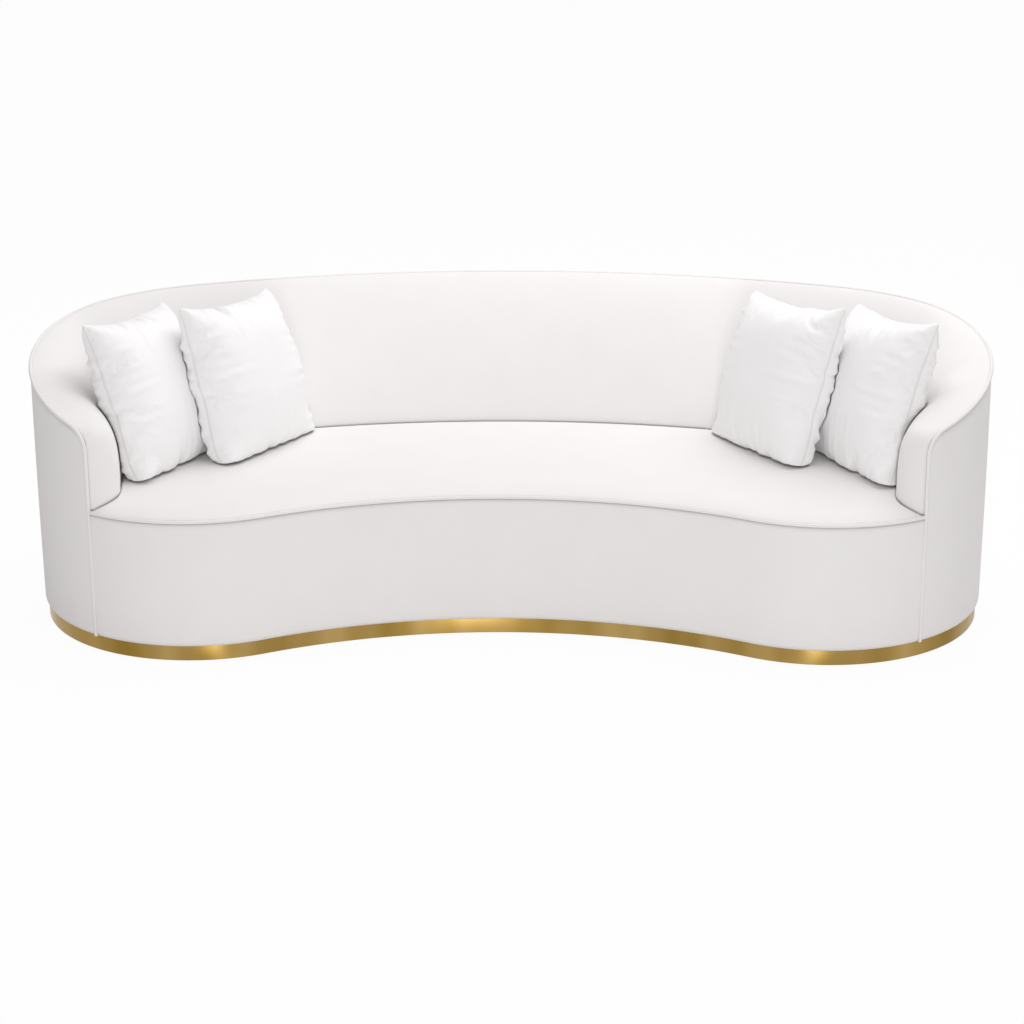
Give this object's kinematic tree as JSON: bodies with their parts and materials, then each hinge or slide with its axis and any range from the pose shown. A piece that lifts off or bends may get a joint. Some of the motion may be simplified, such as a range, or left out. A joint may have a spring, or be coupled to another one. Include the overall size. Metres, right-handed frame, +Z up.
{
  "type": "curved sofa",
  "caption": "Kidney-shaped curved sofa in plain white fabric with a tight seat, a rim that sweeps down to the arms, loose square cushions and a gold metal plinth.",
  "frame": {"origin": "on the floor, under the middle of the sofa's outline", "axes": "+X along the sofa to the right of someone facing it, the front faces -Y, +Z up"},
  "size_m": [2.65, 1.1898, 0.8415],
  "materials": {
    "white_fabric": "matt, smooth, fine weave",
    "gold_metal": "polished",
    "timber": "raw plywood and hardboard",
    "webbing": "elastic webbing",
    "dust_cloth": "non-woven cloth",
    "nylon": "moulded"
  },
  "bodies": {
    "sofa": {"outside_cover": "white_fabric", "front_cover": "white_fabric", "inside_back": "white_fabric", "seat": "white_fabric", "seat_welt": "white_fabric", "rim_welt": "white_fabric", "arm_welt_left": "white_fabric", "arm_welt_right": "white_fabric", "plinth_band_front": "gold_metal", "plinth_band_back": "gold_metal", "plinth_rim_front": "timber", "plinth_rim_back": "timber", "plinth_battens": "timber", "bottom_rail_front": "timber", "bottom_rail_back": "timber", "bottom_stretchers": "timber", "front_posts": "timber", "seat_rail_front": "timber", "seat_rail_back": "timber", "seat_stretchers": "timber", "back_posts": "timber", "arm_post_left": "timber", "arm_post_right": "timber", "top_rail": "timber", "outside_board": "timber", "front_board": "timber", "webbing_straps": "webbing", "dust_cover": "dust_cloth", "glides": "nylon"},
    "cushion_left_outer": {"cushion_left_outer": "white_fabric"},
    "cushion_left_inner": {"cushion_left_inner": "white_fabric"},
    "cushion_right_inner": {"cushion_right_inner": "white_fabric"},
    "cushion_right_outer": {"cushion_right_outer": "white_fabric"}
  },
  "joints": [
    {"name": "cushion_left_outer_lift", "type": "slide", "parent": "sofa", "child": "cushion_left_outer", "axis": [-0.3171, 0.1281, 0.9397], "range_m": [0, 0.45]},
    {"name": "cushion_left_inner_lift", "type": "slide", "parent": "sofa", "child": "cushion_left_inner", "axis": [-0.2962, 0.171, 0.9397], "range_m": [0, 0.45]},
    {"name": "cushion_right_inner_lift", "type": "slide", "parent": "sofa", "child": "cushion_right_inner", "axis": [0.2962, 0.171, 0.9397], "range_m": [0, 0.45]},
    {"name": "cushion_right_outer_lift", "type": "slide", "parent": "sofa", "child": "cushion_right_outer", "axis": [0.3171, 0.1281, 0.9397], "range_m": [0, 0.45]}
  ]
}
